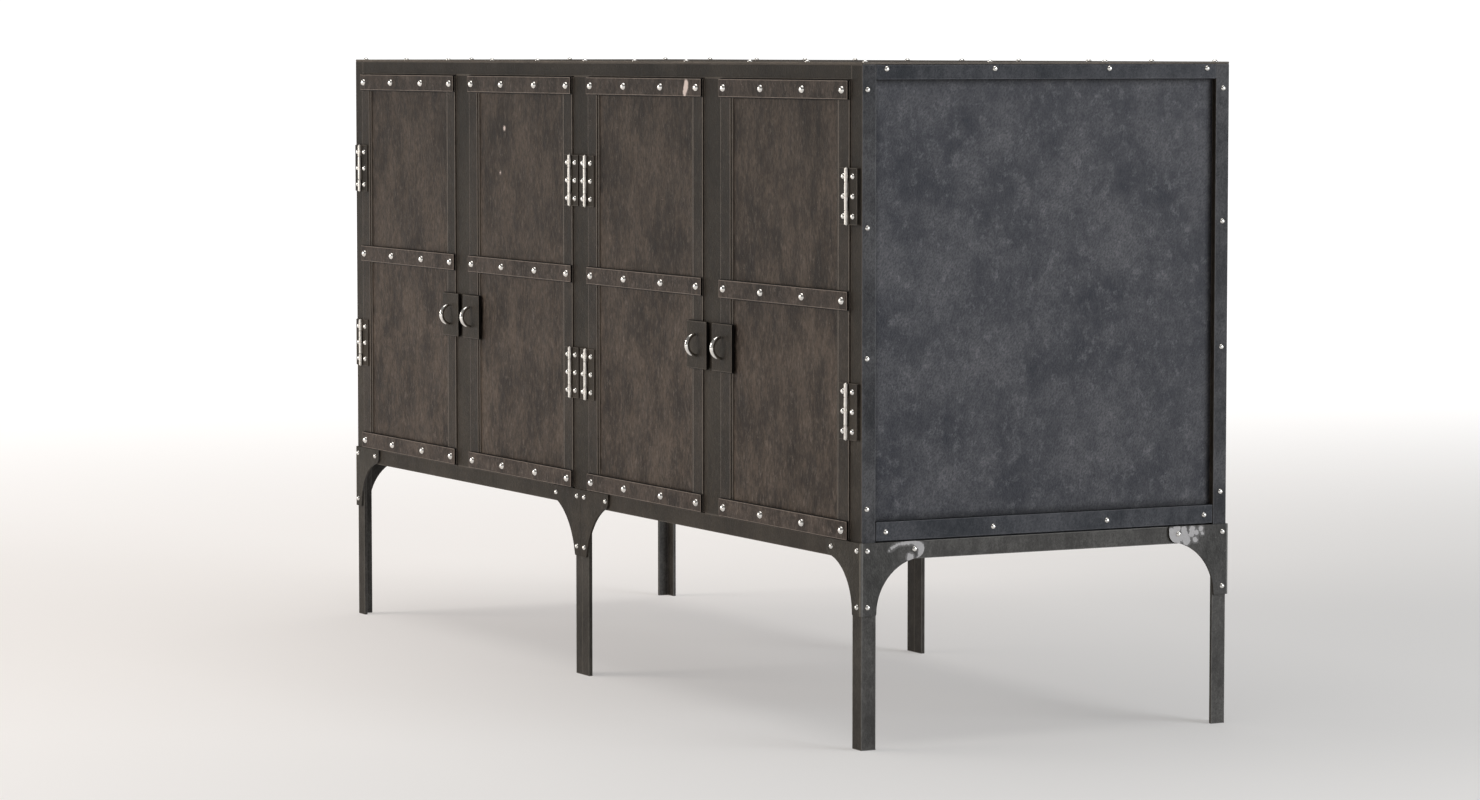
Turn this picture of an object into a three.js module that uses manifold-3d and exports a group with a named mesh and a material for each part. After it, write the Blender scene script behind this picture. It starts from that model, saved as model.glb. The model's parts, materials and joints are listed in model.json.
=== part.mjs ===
// A riveted steel sideboard on six legs, with four hinged doors. Millimetres, +Z up.
// The doors face -Y, +X is to the right seen from the front, and the floor is at Z = 0.
// The origin is the centre of the footprint of the whole object, rivets and pulls included.

import * as THREE from "three";
import { mergeVertices } from "three/addons/utils/BufferGeometryUtils.js";
import Module from "manifold-3d";

const wasm = await Module();
wasm.setup();

// ---- Driving dimensions. Y is counted from the front face of the posts, towards the back. ----

const WIDTH = 1724;
const DEPTH = 574;
const HEIGHT = 914;

const POST_FRONT = 30; // width of a corner post on the front and the back
const POST_SIDE = 21; // width of a corner post on the sides
const RECESS = 9.5; // how far the side and back sheets lie behind the frame
const SHEET = 3; // thickness of the top, side and back sheets
const BOARD = 18; // thickness of the boards inside
const MULLION = 52; // width of the uprights between the doors
const FRAME_DEPTH = 20; // depth of the front rails and uprights

const BASE_LOW = 253.5; // underside of the base rails, where the bare legs end
const BASE_TOP = 277.5; // floor of the cabinet
const OPENING_TOP = 891; // underside of the front top rail
const SHELF_TOP = 594;

const LEG_FRONT = 25;
const LEG_SIDE = 22;
const LEG_THICK = 5;
const MIDDLE_LEG_WIDTH = 44;
const MIDDLE_LEG_THICK = 6;

const DOOR_WIDTH = 374;
const DOOR_LOW = 279;
const DOOR_TOP = 889.5;
const DOOR_PROUD = 2.5; // the door's face stands this far in front of the posts
const DOOR_THICK = 20;
const FIELD_DEPTH = 3; // the sheet between the door's stiles and rails lies this much deeper
const STILE = 30;
const RAIL = 20; // the door's rails are a little narrower than the straps that cover them

const STRAP_HEIGHT = 24.75;
const STRAP_THICK = 3.25;
const STRAP_MIDDLE_LOW = 585.25;

const PULL_WIDTH = 60.5;
const PULL_HEIGHT = 67;
const PULL_THICK = 4;
const PULL_CENTRE_Z = 515.25;
const PULL_OVERLAP = 18.75; // how far its plate reaches past the door's free edge
const BOW_RADIUS = 14.5; // centre line of the half ring
const BOW_BAR = 3; // radius of its bar

const HINGE_HEIGHT = 75.5;
const HINGE_LEAF = 24;
const HINGE_THICK = 2.25;
const HINGE_CENTRES = { upper: 736.75, lower: 451 };
const HINGE_AXIS_Y = -7;
const KNUCKLES = 4;
const KNUCKLE_RADIUS = 3;
const RUNNING_GAP = 0.3;

const BRACKET_THICK = 3;
const BRACKET_ARM = 94;
const CORNER_BRACKET = { low: 180, arcRadius: 74, arcCentre: [95, 182] };
const MIDDLE_BRACKET = { low: 178, arcRadius: 103, arcCentre: [121, 159.5] };
const BRACKET_TIP_RADIUS = 13;

const BIG_RIVET = { radius: 5.75, height: 4.5, facets: 8 };
const SMALL_RIVET = { radius: 4, height: 3, facets: 6 };
const HINGE_RIVET = { radius: 4.25, height: 3, facets: 6 };
const RIVET_ROOT = 1; // how deep a rivet's shank is joined into what it holds

// Rivet places along each row.
const STRAP_RIVETS_X = [-172.5, -60.25, 60.25, 172.5];
const SIDE_RIVETS_Y = [36.75, 202, 381.5, 538.25];
const POST_RIVETS_Z = [322.5, 522.5, 695.5, 877.75];
const TOP_RIVETS_FROM_LEFT = [13, 180, 347, 514, 681, 848, 1015, 1182, 1378, 1546, 1708];
const TOP_END_RIVETS_Y = [202, 382];
const TOP_EDGE_TO_RIVET = 13;
const SIDE_RAIL_RIVET_Z = 905;
const SIDE_STRAP = { low: 278.75, top: 304.75, rivets: 291 };

// ---- Worked out from them. ----

const HALF = WIDTH / 2;
const SHEET_Z = HEIGHT - SHEET; // underside of the top sheet
const INNER_X = HALF - RECESS - SHEET; // inside face of a side sheet
const INNER_Y = DEPTH - RECESS - SHEET; // inside face of the back sheet
const RAIL_END_X = HALF - POST_FRONT;
const OPENING_WIDTH = (2 * RAIL_END_X - 3 * MULLION) / 4;
const DOOR_PITCH = OPENING_WIDTH + MULLION;
const DOOR_GAP = (OPENING_WIDTH - DOOR_WIDTH) / 2;
const PULL_FRONT_Y = -DOOR_PROUD - PULL_THICK;
const FRONT_MOST = PULL_FRONT_Y - BOW_RADIUS - BOW_BAR;
const BACK_MOST = DEPTH + BRACKET_THICK + SMALL_RIVET.height;
const Y_SHIFT = -(FRONT_MOST + BACK_MOST) / 2;

// ---- Finishes. ----

function finish(color, roughness, metalness) {
  return () => new THREE.MeshStandardMaterial({ color, roughness, metalness });
}

const doorSteel = finish(0x514943, 0.6, 0.7);
const frameSteel = finish(0x3f3d39, 0.55, 0.8);
const sheetSteel = finish(0x484a50, 0.6, 0.7);
const brightSteel = finish(0xc8c8c8, 0.2, 1.0);
const insideBoard = finish(0x3a3632, 0.8, 0.1);

// ---- Solids: joining and cutting. ----

function solidOf(geometry) {
  const bare = geometry.clone();
  bare.deleteAttribute("normal");
  bare.deleteAttribute("uv");
  const merged = mergeVertices(bare, 1e-4);
  return new wasm.Manifold(
    new wasm.Mesh({
      numProp: 3,
      vertProperties: merged.attributes.position.array,
      triVerts: new Uint32Array(merged.index.array),
    }),
  );
}

function geometryOf(solid) {
  const mesh = solid.getMesh();
  const geometry = new THREE.BufferGeometry();
  geometry.setAttribute("position", new THREE.BufferAttribute(mesh.vertProperties, 3));
  geometry.setIndex(new THREE.BufferAttribute(mesh.triVerts, 1));
  geometry.computeVertexNormals();
  return geometry;
}

function joined(...geometries) {
  return geometries.map(solidOf).reduce((whole, piece) => whole.add(piece));
}

function box([x0, x1], [y0, y1], [z0, z1]) {
  const geometry = new THREE.BoxGeometry(x1 - x0, y1 - y0, z1 - z0);
  return geometry.translate((x0 + x1) / 2, (y0 + y1) / 2, (z0 + z1) / 2);
}

// The same box on the left (side -1) or the right (side +1) of the object's middle plane.
function sideBox(side, [near, far], yRange, zRange) {
  const xRange = side > 0 ? [near, far] : [-far, -near];
  return box(xRange, yRange, zRange);
}

// A domed head as a short cone, standing on a surface point and facing out along a direction.
function rivet(kind, facing, at) {
  const { radius, height, facets } = kind;
  const head = new THREE.CylinderGeometry(radius * 0.6, radius, height + RIVET_ROOT, facets);
  head.translate(0, (height - RIVET_ROOT) / 2, 0);
  const turn = new THREE.Quaternion().setFromUnitVectors(new THREE.Vector3(0, 1, 0), facing);
  return head.applyQuaternion(turn).translate(...at);
}

const FRONT = new THREE.Vector3(0, -1, 0);
const BACK = new THREE.Vector3(0, 1, 0);
const UP = new THREE.Vector3(0, 0, 1);

function outward(side) {
  return new THREE.Vector3(side, 0, 0);
}

function piece(name, solid, material, parent) {
  const mesh = new THREE.Mesh(geometryOf(solid), material());
  mesh.name = name;
  parent.add(mesh);
  return mesh;
}

const SIDES = { left: -1, right: 1 };
const sideboard = new THREE.Group();
const carcass = new THREE.Group();
sideboard.add(carcass);

// ---- Corner posts: an angle above the base rails, and a lighter angle as the leg below. ----

function cornerPost(side, rear) {
  const fromFront = (a, b) => (rear ? [DEPTH - b, DEPTH - a] : [a, b]);
  const leg = [0, BASE_LOW];
  const upper = [BASE_LOW, SHEET_Z];
  const rivets = POST_RIVETS_Z.map((z) => {
    const y = rear ? DEPTH - RECESS : RECESS - 1.5;
    return rivet(SMALL_RIVET, outward(side), [side * HALF, y, z]);
  });
  return joined(
    sideBox(side, [HALF - POST_FRONT, HALF], fromFront(0, RECESS), upper),
    sideBox(side, [HALF - RECESS, HALF], fromFront(0, POST_SIDE), upper),
    sideBox(side, [HALF - LEG_FRONT, HALF], fromFront(0, LEG_THICK), leg),
    sideBox(side, [HALF - LEG_THICK, HALF], fromFront(0, LEG_SIDE), leg),
    ...rivets,
  );
}

for (const [sideName, side] of Object.entries(SIDES)) {
  piece("post_front_" + sideName, cornerPost(side, false), frameSteel, carcass);
  piece("post_rear_" + sideName, cornerPost(side, true), frameSteel, carcass);
}

// ---- Brackets: gusset plates with a concave lower edge, wrapped round each corner. ----

// The outline in the plane of a leaf: u runs from the corner along the arm, z runs up.
function gussetOutline({ low, arcRadius, arcCentre }, uStart) {
  const [cu, cz] = arcCentre;
  const tipU = BRACKET_ARM - BRACKET_TIP_RADIUS;
  const footAngle = Math.asin(Math.max(0, low - cz) / arcRadius);
  const tipAngle = Math.acos((cu - tipU) / arcRadius);
  const tipZ = cz + arcRadius * Math.sin(tipAngle);
  const outline = new THREE.Shape();
  outline.moveTo(uStart, low);
  outline.lineTo(cu - arcRadius * Math.cos(footAngle), low);
  outline.absarc(cu, cz, arcRadius, Math.PI - footAngle, Math.PI - tipAngle, true);
  outline.quadraticCurveTo(BRACKET_ARM, tipZ + 1, BRACKET_ARM, tipZ + BRACKET_TIP_RADIUS);
  outline.lineTo(BRACKET_ARM, BASE_TOP);
  outline.lineTo(uStart, BASE_TOP);
  return outline;
}

function gusset(shape, uStart) {
  const settings = { depth: BRACKET_THICK, bevelEnabled: false, curveSegments: 8 };
  return new THREE.ExtrudeGeometry(gussetOutline(shape, uStart), settings);
}

// Turns an outline's u, z and thickness to the object's axes.
function placed(geometry, uAxis, thicknessAxis, origin) {
  const zAxis = new THREE.Vector3(0, 0, 1);
  const turn = new THREE.Matrix4().makeBasis(uAxis, zAxis, thicknessAxis);
  return geometry.applyMatrix4(turn).translate(...origin);
}

// A basis with a mirror in it turns the faces inside out, so those are turned back.
function facingOut(geometry, mirrored) {
  if (!mirrored) return geometry;
  const flipped = geometry.index ? geometry.toNonIndexed() : geometry;
  const p = flipped.getAttribute("position");
  for (let i = 0; i < p.count; i += 3) {
    const [x, y, z] = [p.getX(i), p.getY(i), p.getZ(i)];
    p.setXYZ(i, p.getX(i + 1), p.getY(i + 1), p.getZ(i + 1));
    p.setXYZ(i + 1, x, y, z);
  }
  return flipped;
}

// A gusset leaf in a plane of the object; it is mirrored where its three axes are left-handed.
function leaf(shape, uStart, uAxis, thicknessAxis, origin) {
  const zAxis = new THREE.Vector3(0, 0, 1);
  const handed = new THREE.Vector3().crossVectors(uAxis, zAxis).dot(thicknessAxis);
  return facingOut(placed(gusset(shape, uStart), uAxis, thicknessAxis, origin), handed < 0);
}

const CORNER_RIVETS = [[7.5, 267], [79, 267], [7.5, 191.75]];
const MIDDLE_RIVETS = [[85, 267], [12.5, 267], [12.5, 191.75]];

function cornerBracket(side, rear) {
  const face = rear ? BACK : FRONT;
  const faceY = rear ? DEPTH : 0;
  const inwardX = outward(-side);
  const inwardY = rear ? FRONT : BACK;
  const corner = [side * HALF, faceY, 0];
  const rivets = CORNER_RIVETS.flatMap(([u, z]) => [
    rivet(SMALL_RIVET, face, [side * (HALF - u), faceY + face.y * BRACKET_THICK, z]),
    rivet(SMALL_RIVET, outward(side), [side * (HALF + BRACKET_THICK), faceY - face.y * u, z]),
  ]);
  return joined(
    leaf(CORNER_BRACKET, -BRACKET_THICK, inwardX, face, corner),
    leaf(CORNER_BRACKET, -BRACKET_THICK, inwardY, outward(side), corner),
    ...rivets,
  );
}

function middleBracket(rear) {
  const face = rear ? BACK : FRONT;
  const faceY = rear ? DEPTH : 0;
  const halves = [-1, 1].flatMap((side) => [
    leaf(MIDDLE_BRACKET, 0, outward(side), face, [0, faceY, 0]),
    ...MIDDLE_RIVETS.map(([u, z]) =>
      rivet(SMALL_RIVET, face, [side * u, faceY + face.y * BRACKET_THICK, z]),
    ),
  ]);
  return joined(...halves);
}

for (const [sideName, side] of Object.entries(SIDES)) {
  piece("corner_bracket_front_" + sideName, cornerBracket(side, false), frameSteel, carcass);
  piece("corner_bracket_rear_" + sideName, cornerBracket(side, true), frameSteel, carcass);
}

// ---- Middle legs: a flat bar under the base rail, front and back. ----

function middleLeg(rear) {
  const yRange = rear ? [DEPTH - MIDDLE_LEG_THICK, DEPTH] : [0, MIDDLE_LEG_THICK];
  return box([-MIDDLE_LEG_WIDTH / 2, MIDDLE_LEG_WIDTH / 2], yRange, [0, BASE_LOW]);
}

piece("middle_leg_front", joined(middleLeg(false)), frameSteel, carcass);
piece("middle_bracket_front", middleBracket(false), frameSteel, carcass);
const rearLeg = solidOf(middleLeg(true)).add(middleBracket(true));
piece("middle_leg_and_bracket_rear", rearLeg, frameSteel, carcass);

// ---- Front frame: top rail, base rail with the bottom board, and the uprights. ----

const FRONT_FRAME_Y = [0, FRAME_DEPTH];
const INSIDE_Y = [FRAME_DEPTH, INNER_Y];

const topRail = box([-RAIL_END_X, RAIL_END_X], FRONT_FRAME_Y, [OPENING_TOP, SHEET_Z]);
piece("front_top_rail", joined(topRail), frameSteel, carcass);

const floorBoard = joined(
  box([-RAIL_END_X, RAIL_END_X], FRONT_FRAME_Y, [BASE_LOW, BASE_TOP]),
  box([-INNER_X, INNER_X], INSIDE_Y, [BASE_TOP - BOARD, BASE_TOP]),
);
piece("front_base_rail_and_floor", floorBoard, frameSteel, carcass);

function mullion(x) {
  return box([x - MULLION / 2, x + MULLION / 2], FRONT_FRAME_Y, [BASE_TOP, OPENING_TOP]);
}

piece("mullion_left", joined(mullion(-DOOR_PITCH)), frameSteel, carcass);
piece("mullion_right", joined(mullion(DOOR_PITCH)), frameSteel, carcass);

// The middle upright carries the board that parts the cabinet in two, and its shelf cleats.
const CLEAT = 12;
const CLEAT_Y = [40, 540];
const CLEAT_Z = [SHELF_TOP - BOARD - CLEAT, SHELF_TOP - BOARD];
const TOP_BOARD_LOW = SHEET_Z - BOARD;

const partition = joined(
  mullion(0),
  box([-BOARD / 2, BOARD / 2], INSIDE_Y, [BASE_TOP, TOP_BOARD_LOW]),
  box([-BOARD / 2 - CLEAT, BOARD / 2 + CLEAT], CLEAT_Y, CLEAT_Z),
);
piece("middle_mullion_and_partition", partition, frameSteel, carcass);

// ---- Sides: a recessed sheet with its top and base rails, and a riveted strap. ----

const BETWEEN_POSTS_Y = [POST_SIDE, DEPTH - POST_SIDE];

function sideWall(side) {
  const frameX = [HALF - RECESS, HALF];
  const rivets = SIDE_RIVETS_Y.map((y) =>
    rivet(SMALL_RIVET, outward(side), [side * HALF, y, SIDE_RAIL_RIVET_Z]),
  );
  return joined(
    sideBox(side, [INNER_X, HALF - RECESS], [RECESS, DEPTH - RECESS], [BASE_LOW, SHEET_Z]),
    sideBox(side, frameX, BETWEEN_POSTS_Y, [OPENING_TOP, SHEET_Z]),
    sideBox(side, frameX, BETWEEN_POSTS_Y, [BASE_LOW, BASE_TOP]),
    sideBox(side, [INNER_X - CLEAT, INNER_X], CLEAT_Y, CLEAT_Z),
    ...rivets,
  );
}

function sideStrap(side) {
  const { low, top, rivets } = SIDE_STRAP;
  const [yFront, yBack] = BETWEEN_POSTS_Y;
  const heads = SIDE_RIVETS_Y.map((y) =>
    rivet(SMALL_RIVET, outward(side), [side * HALF, y, rivets]),
  );
  return joined(
    sideBox(side, [HALF - RECESS, HALF], [yFront + 1, yBack - 1], [low, top]),
    ...heads,
  );
}

for (const [sideName, side] of Object.entries(SIDES)) {
  piece("side_panel_" + sideName, sideWall(side), sheetSteel, carcass);
  piece("side_strap_" + sideName, sideStrap(side), frameSteel, carcass);
}

// ---- Back: a recessed sheet with its rails and a strip over the middle leg. ----

const BACK_STRIP = 52;
const BACK_RAIL_RIVETS = 8;
const BACK_RIVET_END = 110; // from the end of the rail to its first rivet, clear of the brackets
const BASE_RAIL_RIVET_Z = 265.5;

function backWall() {
  const railX = [-RAIL_END_X, RAIL_END_X];
  const frameY = [DEPTH - RECESS, DEPTH];
  const step = (2 * (RAIL_END_X - BACK_RIVET_END)) / (BACK_RAIL_RIVETS - 1);
  const heads = POST_RIVETS_Z.map((z) => rivet(SMALL_RIVET, BACK, [0, DEPTH, z]));
  for (let i = 0; i < BACK_RAIL_RIVETS; i += 1) {
    const x = -RAIL_END_X + BACK_RIVET_END + i * step;
    heads.push(rivet(SMALL_RIVET, BACK, [x, DEPTH, SIDE_RAIL_RIVET_Z - 3]));
    heads.push(rivet(SMALL_RIVET, BACK, [x, DEPTH, BASE_RAIL_RIVET_Z]));
  }
  return joined(
    box([-INNER_X, INNER_X], [INNER_Y, DEPTH - RECESS], [BASE_LOW, SHEET_Z]),
    box(railX, frameY, [OPENING_TOP, SHEET_Z]),
    box(railX, frameY, [BASE_LOW, BASE_TOP]),
    box([-BACK_STRIP / 2, BACK_STRIP / 2], frameY, [BASE_TOP, OPENING_TOP]),
    ...heads,
  );
}

piece("back_panel", backWall(), sheetSteel, carcass);

// ---- Top: a sheet riveted all round, on a board that lies between the walls. ----

function top() {
  const rows = TOP_RIVETS_FROM_LEFT.flatMap((fromLeft) => [
    [fromLeft - HALF, TOP_EDGE_TO_RIVET],
    [fromLeft - HALF, DEPTH - TOP_EDGE_TO_RIVET],
  ]);
  const ends = TOP_END_RIVETS_Y.flatMap((y) => [
    [TOP_EDGE_TO_RIVET - HALF, y],
    [HALF - TOP_EDGE_TO_RIVET, y],
  ]);
  const heads = [...rows, ...ends].map(([x, y]) => rivet(SMALL_RIVET, UP, [x, y, HEIGHT]));
  return joined(
    box([-HALF, HALF], [0, DEPTH], [SHEET_Z, HEIGHT]),
    box([-INNER_X, INNER_X], INSIDE_Y, [TOP_BOARD_LOW, SHEET_Z]),
    ...heads,
  );
}

piece("top", top(), frameSteel, carcass);

// ---- Shelves: one board in each half, lying on the cleats. ----

const SHELF_CLEARANCE = 0.5;
const SHELF_SET_BACK = 4;

for (const [sideName, side] of Object.entries(SIDES)) {
  const across = [BOARD / 2 + SHELF_CLEARANCE, INNER_X - SHELF_CLEARANCE];
  const deep = [FRAME_DEPTH + SHELF_SET_BACK, INNER_Y - SHELF_CLEARANCE];
  const shelf = sideBox(side, across, deep, [SHELF_TOP - BOARD, SHELF_TOP]);
  piece("shelf_" + sideName, joined(shelf), insideBoard, carcass);
}

// ---- Doors. Each door group stands at the middle of its opening. ----

const DOOR_HALF = DOOR_WIDTH / 2;
const FACE_Y = -DOOR_PROUD;

function doorLeaf() {
  const across = [-DOOR_HALF, DOOR_HALF];
  const middleLow = STRAP_MIDDLE_LOW + (STRAP_HEIGHT - RAIL) / 2;
  const fieldX = [-DOOR_HALF + STILE, DOOR_HALF - STILE];
  const fieldY = [FACE_Y - 1, FACE_Y + FIELD_DEPTH];
  const lowerField = box(fieldX, fieldY, [DOOR_LOW + RAIL, middleLow]);
  const upperField = box(fieldX, fieldY, [middleLow + RAIL, DOOR_TOP - RAIL]);
  const slab = box(across, [FACE_Y, FACE_Y + DOOR_THICK], [DOOR_LOW, DOOR_TOP]);
  return solidOf(slab).subtract(solidOf(lowerField)).subtract(solidOf(upperField));
}

function doorStrap(low) {
  const frontY = FACE_Y - STRAP_THICK;
  const plate = box([-DOOR_HALF, DOOR_HALF], [frontY, FACE_Y], [low, low + STRAP_HEIGHT]);
  const heads = STRAP_RIVETS_X.map((x) =>
    rivet(BIG_RIVET, FRONT, [x, frontY, low + STRAP_HEIGHT / 2]),
  );
  return joined(plate, ...heads);
}

// A square plate with a half ring standing on edge; freeSide is the side the door opens from.
function pull(freeSide) {
  const inner = DOOR_HALF + PULL_OVERLAP;
  const plate = sideBox(
    freeSide,
    [inner - PULL_WIDTH, inner],
    [PULL_FRONT_Y, FACE_Y],
    [PULL_CENTRE_Z - PULL_HEIGHT / 2, PULL_CENTRE_Z + PULL_HEIGHT / 2],
  );
  const centreX = freeSide * (inner - PULL_WIDTH / 2);
  const ring = new THREE.TorusGeometry(BOW_RADIUS, BOW_BAR, 6, 20);
  ring.rotateY(Math.PI / 2).translate(centreX, PULL_FRONT_Y, PULL_CENTRE_Z);
  const reach = BOW_RADIUS + BOW_BAR + 1;
  const inFront = box(
    [centreX - reach, centreX + reach],
    [PULL_FRONT_Y - reach, PULL_FRONT_Y + PULL_THICK / 2],
    [PULL_CENTRE_Z - reach, PULL_CENTRE_Z + reach],
  );
  const bow = solidOf(ring).intersect(solidOf(inFront));
  return solidOf(plate).add(bow);
}

// One leaf of a hinge, with every second knuckle. side is where the leaf lies from the axis.
function hingeLeaf(axisX, centreZ, side, backY, firstKnuckle) {
  const low = centreZ - HINGE_HEIGHT / 2;
  const frontY = FACE_Y - HINGE_THICK;
  const plateStart = KNUCKLE_RADIUS + 0.5;
  const across = (near, far) =>
    side > 0 ? [axisX + near, axisX + far] : [axisX - far, axisX - near];
  const parts = [box(across(plateStart, HINGE_LEAF), [frontY, backY], [low, low + HINGE_HEIGHT])];
  const pitch = HINGE_HEIGHT / KNUCKLES;
  for (let i = firstKnuckle; i < KNUCKLES; i += 2) {
    const z0 = low + i * pitch + RUNNING_GAP / 2;
    const z1 = low + (i + 1) * pitch - RUNNING_GAP / 2;
    const knuckle = new THREE.CylinderGeometry(KNUCKLE_RADIUS, KNUCKLE_RADIUS, z1 - z0, 8);
    knuckle.rotateX(Math.PI / 2).translate(axisX, HINGE_AXIS_Y, (z0 + z1) / 2);
    parts.push(knuckle);
    parts.push(box(across(1, plateStart + 1), [HINGE_AXIS_Y + 0.5, FACE_Y - 0.5], [z0, z1]));
  }
  const rivetX = axisX + side * (plateStart + HINGE_LEAF) * 0.48;
  for (const dz of [-26.5, 0, 26.5]) {
    parts.push(rivet(HINGE_RIVET, FRONT, [rivetX, frontY, centreZ + dz]));
  }
  return joined(...parts);
}

for (let i = 0; i < 4; i += 1) {
  const name = "door_" + (i + 1);
  const door = new THREE.Group();
  door.position.x = (i - 1.5) * DOOR_PITCH;
  sideboard.add(door);

  const hingeSide = i % 2 === 0 ? -1 : 1;
  piece(name + "_leaf", doorLeaf(), doorSteel, door);
  piece(name + "_strap_top", doorStrap(DOOR_TOP - STRAP_HEIGHT), frameSteel, door);
  piece(name + "_strap_middle", doorStrap(STRAP_MIDDLE_LOW), frameSteel, door);
  piece(name + "_strap_bottom", doorStrap(DOOR_LOW), frameSteel, door);
  piece(name + "_pull", pull(-hingeSide), brightSteel, door);

  const axisX = hingeSide * (DOOR_HALF + DOOR_GAP / 2);
  for (const [place, centreZ] of Object.entries(HINGE_CENTRES)) {
    const onDoor = hingeLeaf(axisX, centreZ, -hingeSide, FACE_Y, 1);
    const onPost = hingeLeaf(axisX, centreZ, hingeSide, 0, 0);
    piece(name + "_hinge_" + place, onDoor, brightSteel, door);
    piece("post_hinge_" + place + "_" + (i + 1), onPost, brightSteel, door);
  }
}

// Everything is moved back or forward so that the footprint's centre is at the origin.
sideboard.position.y = Y_SHIFT;

const part = new THREE.Group();
part.add(sideboard);

export default part;
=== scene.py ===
# %% [markdown]
# # A riveted steel sideboard
# The real object is a low cabinet of dark, patinated steel on six slim legs. Its four doors are boards
# clad in steel, bound by riveted straps. The CAD model gives the places, the outer sizes and the joints.
# This script names the smaller sizes and makes what is seen: worn edges, domed rivets, hinges with bored
# knuckles on a pin, and the patina of the steel.

# %% Load the frame
import json
import math
import bmesh
import bpy
from mathutils import Matrix, Vector


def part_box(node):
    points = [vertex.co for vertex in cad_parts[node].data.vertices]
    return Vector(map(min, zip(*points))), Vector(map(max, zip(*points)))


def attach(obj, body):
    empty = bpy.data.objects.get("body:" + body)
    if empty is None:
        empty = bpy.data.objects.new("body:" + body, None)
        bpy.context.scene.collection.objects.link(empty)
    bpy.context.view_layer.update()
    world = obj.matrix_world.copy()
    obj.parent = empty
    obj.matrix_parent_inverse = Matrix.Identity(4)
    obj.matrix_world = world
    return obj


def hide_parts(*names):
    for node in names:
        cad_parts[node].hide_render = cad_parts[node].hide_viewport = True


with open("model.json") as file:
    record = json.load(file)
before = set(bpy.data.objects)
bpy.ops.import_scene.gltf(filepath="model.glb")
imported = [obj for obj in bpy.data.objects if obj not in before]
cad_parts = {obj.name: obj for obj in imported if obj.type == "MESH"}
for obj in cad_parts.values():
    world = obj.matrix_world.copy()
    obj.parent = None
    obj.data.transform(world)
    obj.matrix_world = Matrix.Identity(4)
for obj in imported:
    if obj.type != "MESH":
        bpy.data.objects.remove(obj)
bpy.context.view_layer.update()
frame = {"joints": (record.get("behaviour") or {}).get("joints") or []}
MM = 0.001

# %% [markdown]
# ## Materials as expressions
# A finish is a small network of nodes. Written by hand it is long, so a Wire wraps a socket and turns
# Python arithmetic into Math nodes, and a Finish adds any other node from its type, settings and inputs.


# %% Wires and finishes
class Wire:
    """An output of one node. Arithmetic on it adds Math nodes to the same finish."""

    def __init__(self, finish, socket):
        self.finish = finish
        self.socket = socket

    def maths(self, operation, *terms):
        return self.finish.node("ShaderNodeMath", {"operation": operation}, dict(enumerate(terms)))

    def __add__(self, other):
        return self.maths("ADD", self, other)

    def __sub__(self, other):
        return self.maths("SUBTRACT", self, other)

    def __rsub__(self, other):
        return self.maths("SUBTRACT", other, self)

    def __mul__(self, other):
        return self.maths("MULTIPLY", self, other)

    __radd__ = __add__


class Finish:
    """A material under construction."""

    def __init__(self, name):
        self.material = bpy.data.materials.new(name)
        self.material.use_nodes = True
        self.tree = self.material.node_tree
        self.shader = self.tree.nodes["Principled BSDF"]
        self.place = self.node("ShaderNodeTexCoord", output="Object")

    def node(self, kind, settings=None, inputs=None, output=0):
        made = self.tree.nodes.new(kind)
        for key, value in (settings or {}).items():
            setattr(made, key, value)
        for key, value in (inputs or {}).items():
            self.feed(made.inputs[key], value)
        return Wire(self, made.outputs[output])

    def feed(self, socket, value):
        if isinstance(value, Wire):
            self.tree.links.new(value.socket, socket)
        else:
            socket.default_value = value

    def mix(self, factor, low, high):
        inputs = {0: factor, 6: low, 7: high}
        return self.node("ShaderNodeMix", {"data_type": "RGBA"}, inputs, output=2)

    def noise(self, per_metre, detail=4.0, rough=0.55, shift=(0, 0, 0), turn=0):
        """Noise from 0 to 1, with its own number of cells to the metre along X, Y and Z.
        turn leans the pattern in the plane of the end sheets."""
        leaning = {"Vector": self.place, "Rotation": (math.radians(turn), 0, 0)}
        turned = self.node("ShaderNodeMapping", None, leaning) if turn else self.place
        inputs = {"Vector": turned, "Location": shift, "Scale": per_metre}
        spot = self.node("ShaderNodeMapping", None, inputs)
        inputs = {"Vector": spot, "Scale": 1.0, "Detail": detail, "Roughness": rough}
        return self.node("ShaderNodeTexNoise", {"noise_dimensions": "3D"}, inputs)

    def step(self, value, start, end):
        """0 below start, 1 above end, and smooth between them."""
        inputs = {"Value": value, "From Min": start, "From Max": end}
        return self.node("ShaderNodeMapRange", {"interpolation_type": "SMOOTHSTEP"}, inputs)

    def painted(self, name):
        """A number that the mesh carries at its corners."""
        return self.node("ShaderNodeAttribute", {"attribute_name": name}, output="Fac")

    def surface(self, **values):
        for name, value in values.items():
            self.feed(self.shader.inputs[name.replace("_", " ")], value)
        return self.material


def colour(red, green, blue):
    """A colour as a screen shows it, from 0 to 255, made linear."""
    def linear(part):
        part = part / 255
        return part / 12.92 if part < 0.04045 else ((part + 0.055) / 1.055) ** 2.4
    return (linear(red), linear(green), linear(blue), 1.0)


# %% [markdown]
# ## Patinated steel
# Blackened steel isn't one colour. The doors carry brown clouds drawn out into upright streaks, the end
# sheets are cooler and have a fine pebbled grain, and every corner that hands touch is rubbed paler.
# One recipe covers them all: clouds, streaks, grain and specks from noise of different sizes, then wear
# from the number "wear", and painted shade in near black from the number "scale", that each mesh
# carries near its edges.


# %% The recipe for steel
# Near black for painted shade: on the sides of bars, in films beside straps and plates, in the end fields'
# borders, and towards the top of the steel.
PAINTED_SHADE_BLACK = colour(11, 10, 9)
BARE_STEEL = colour(162, 159, 158)


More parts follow.
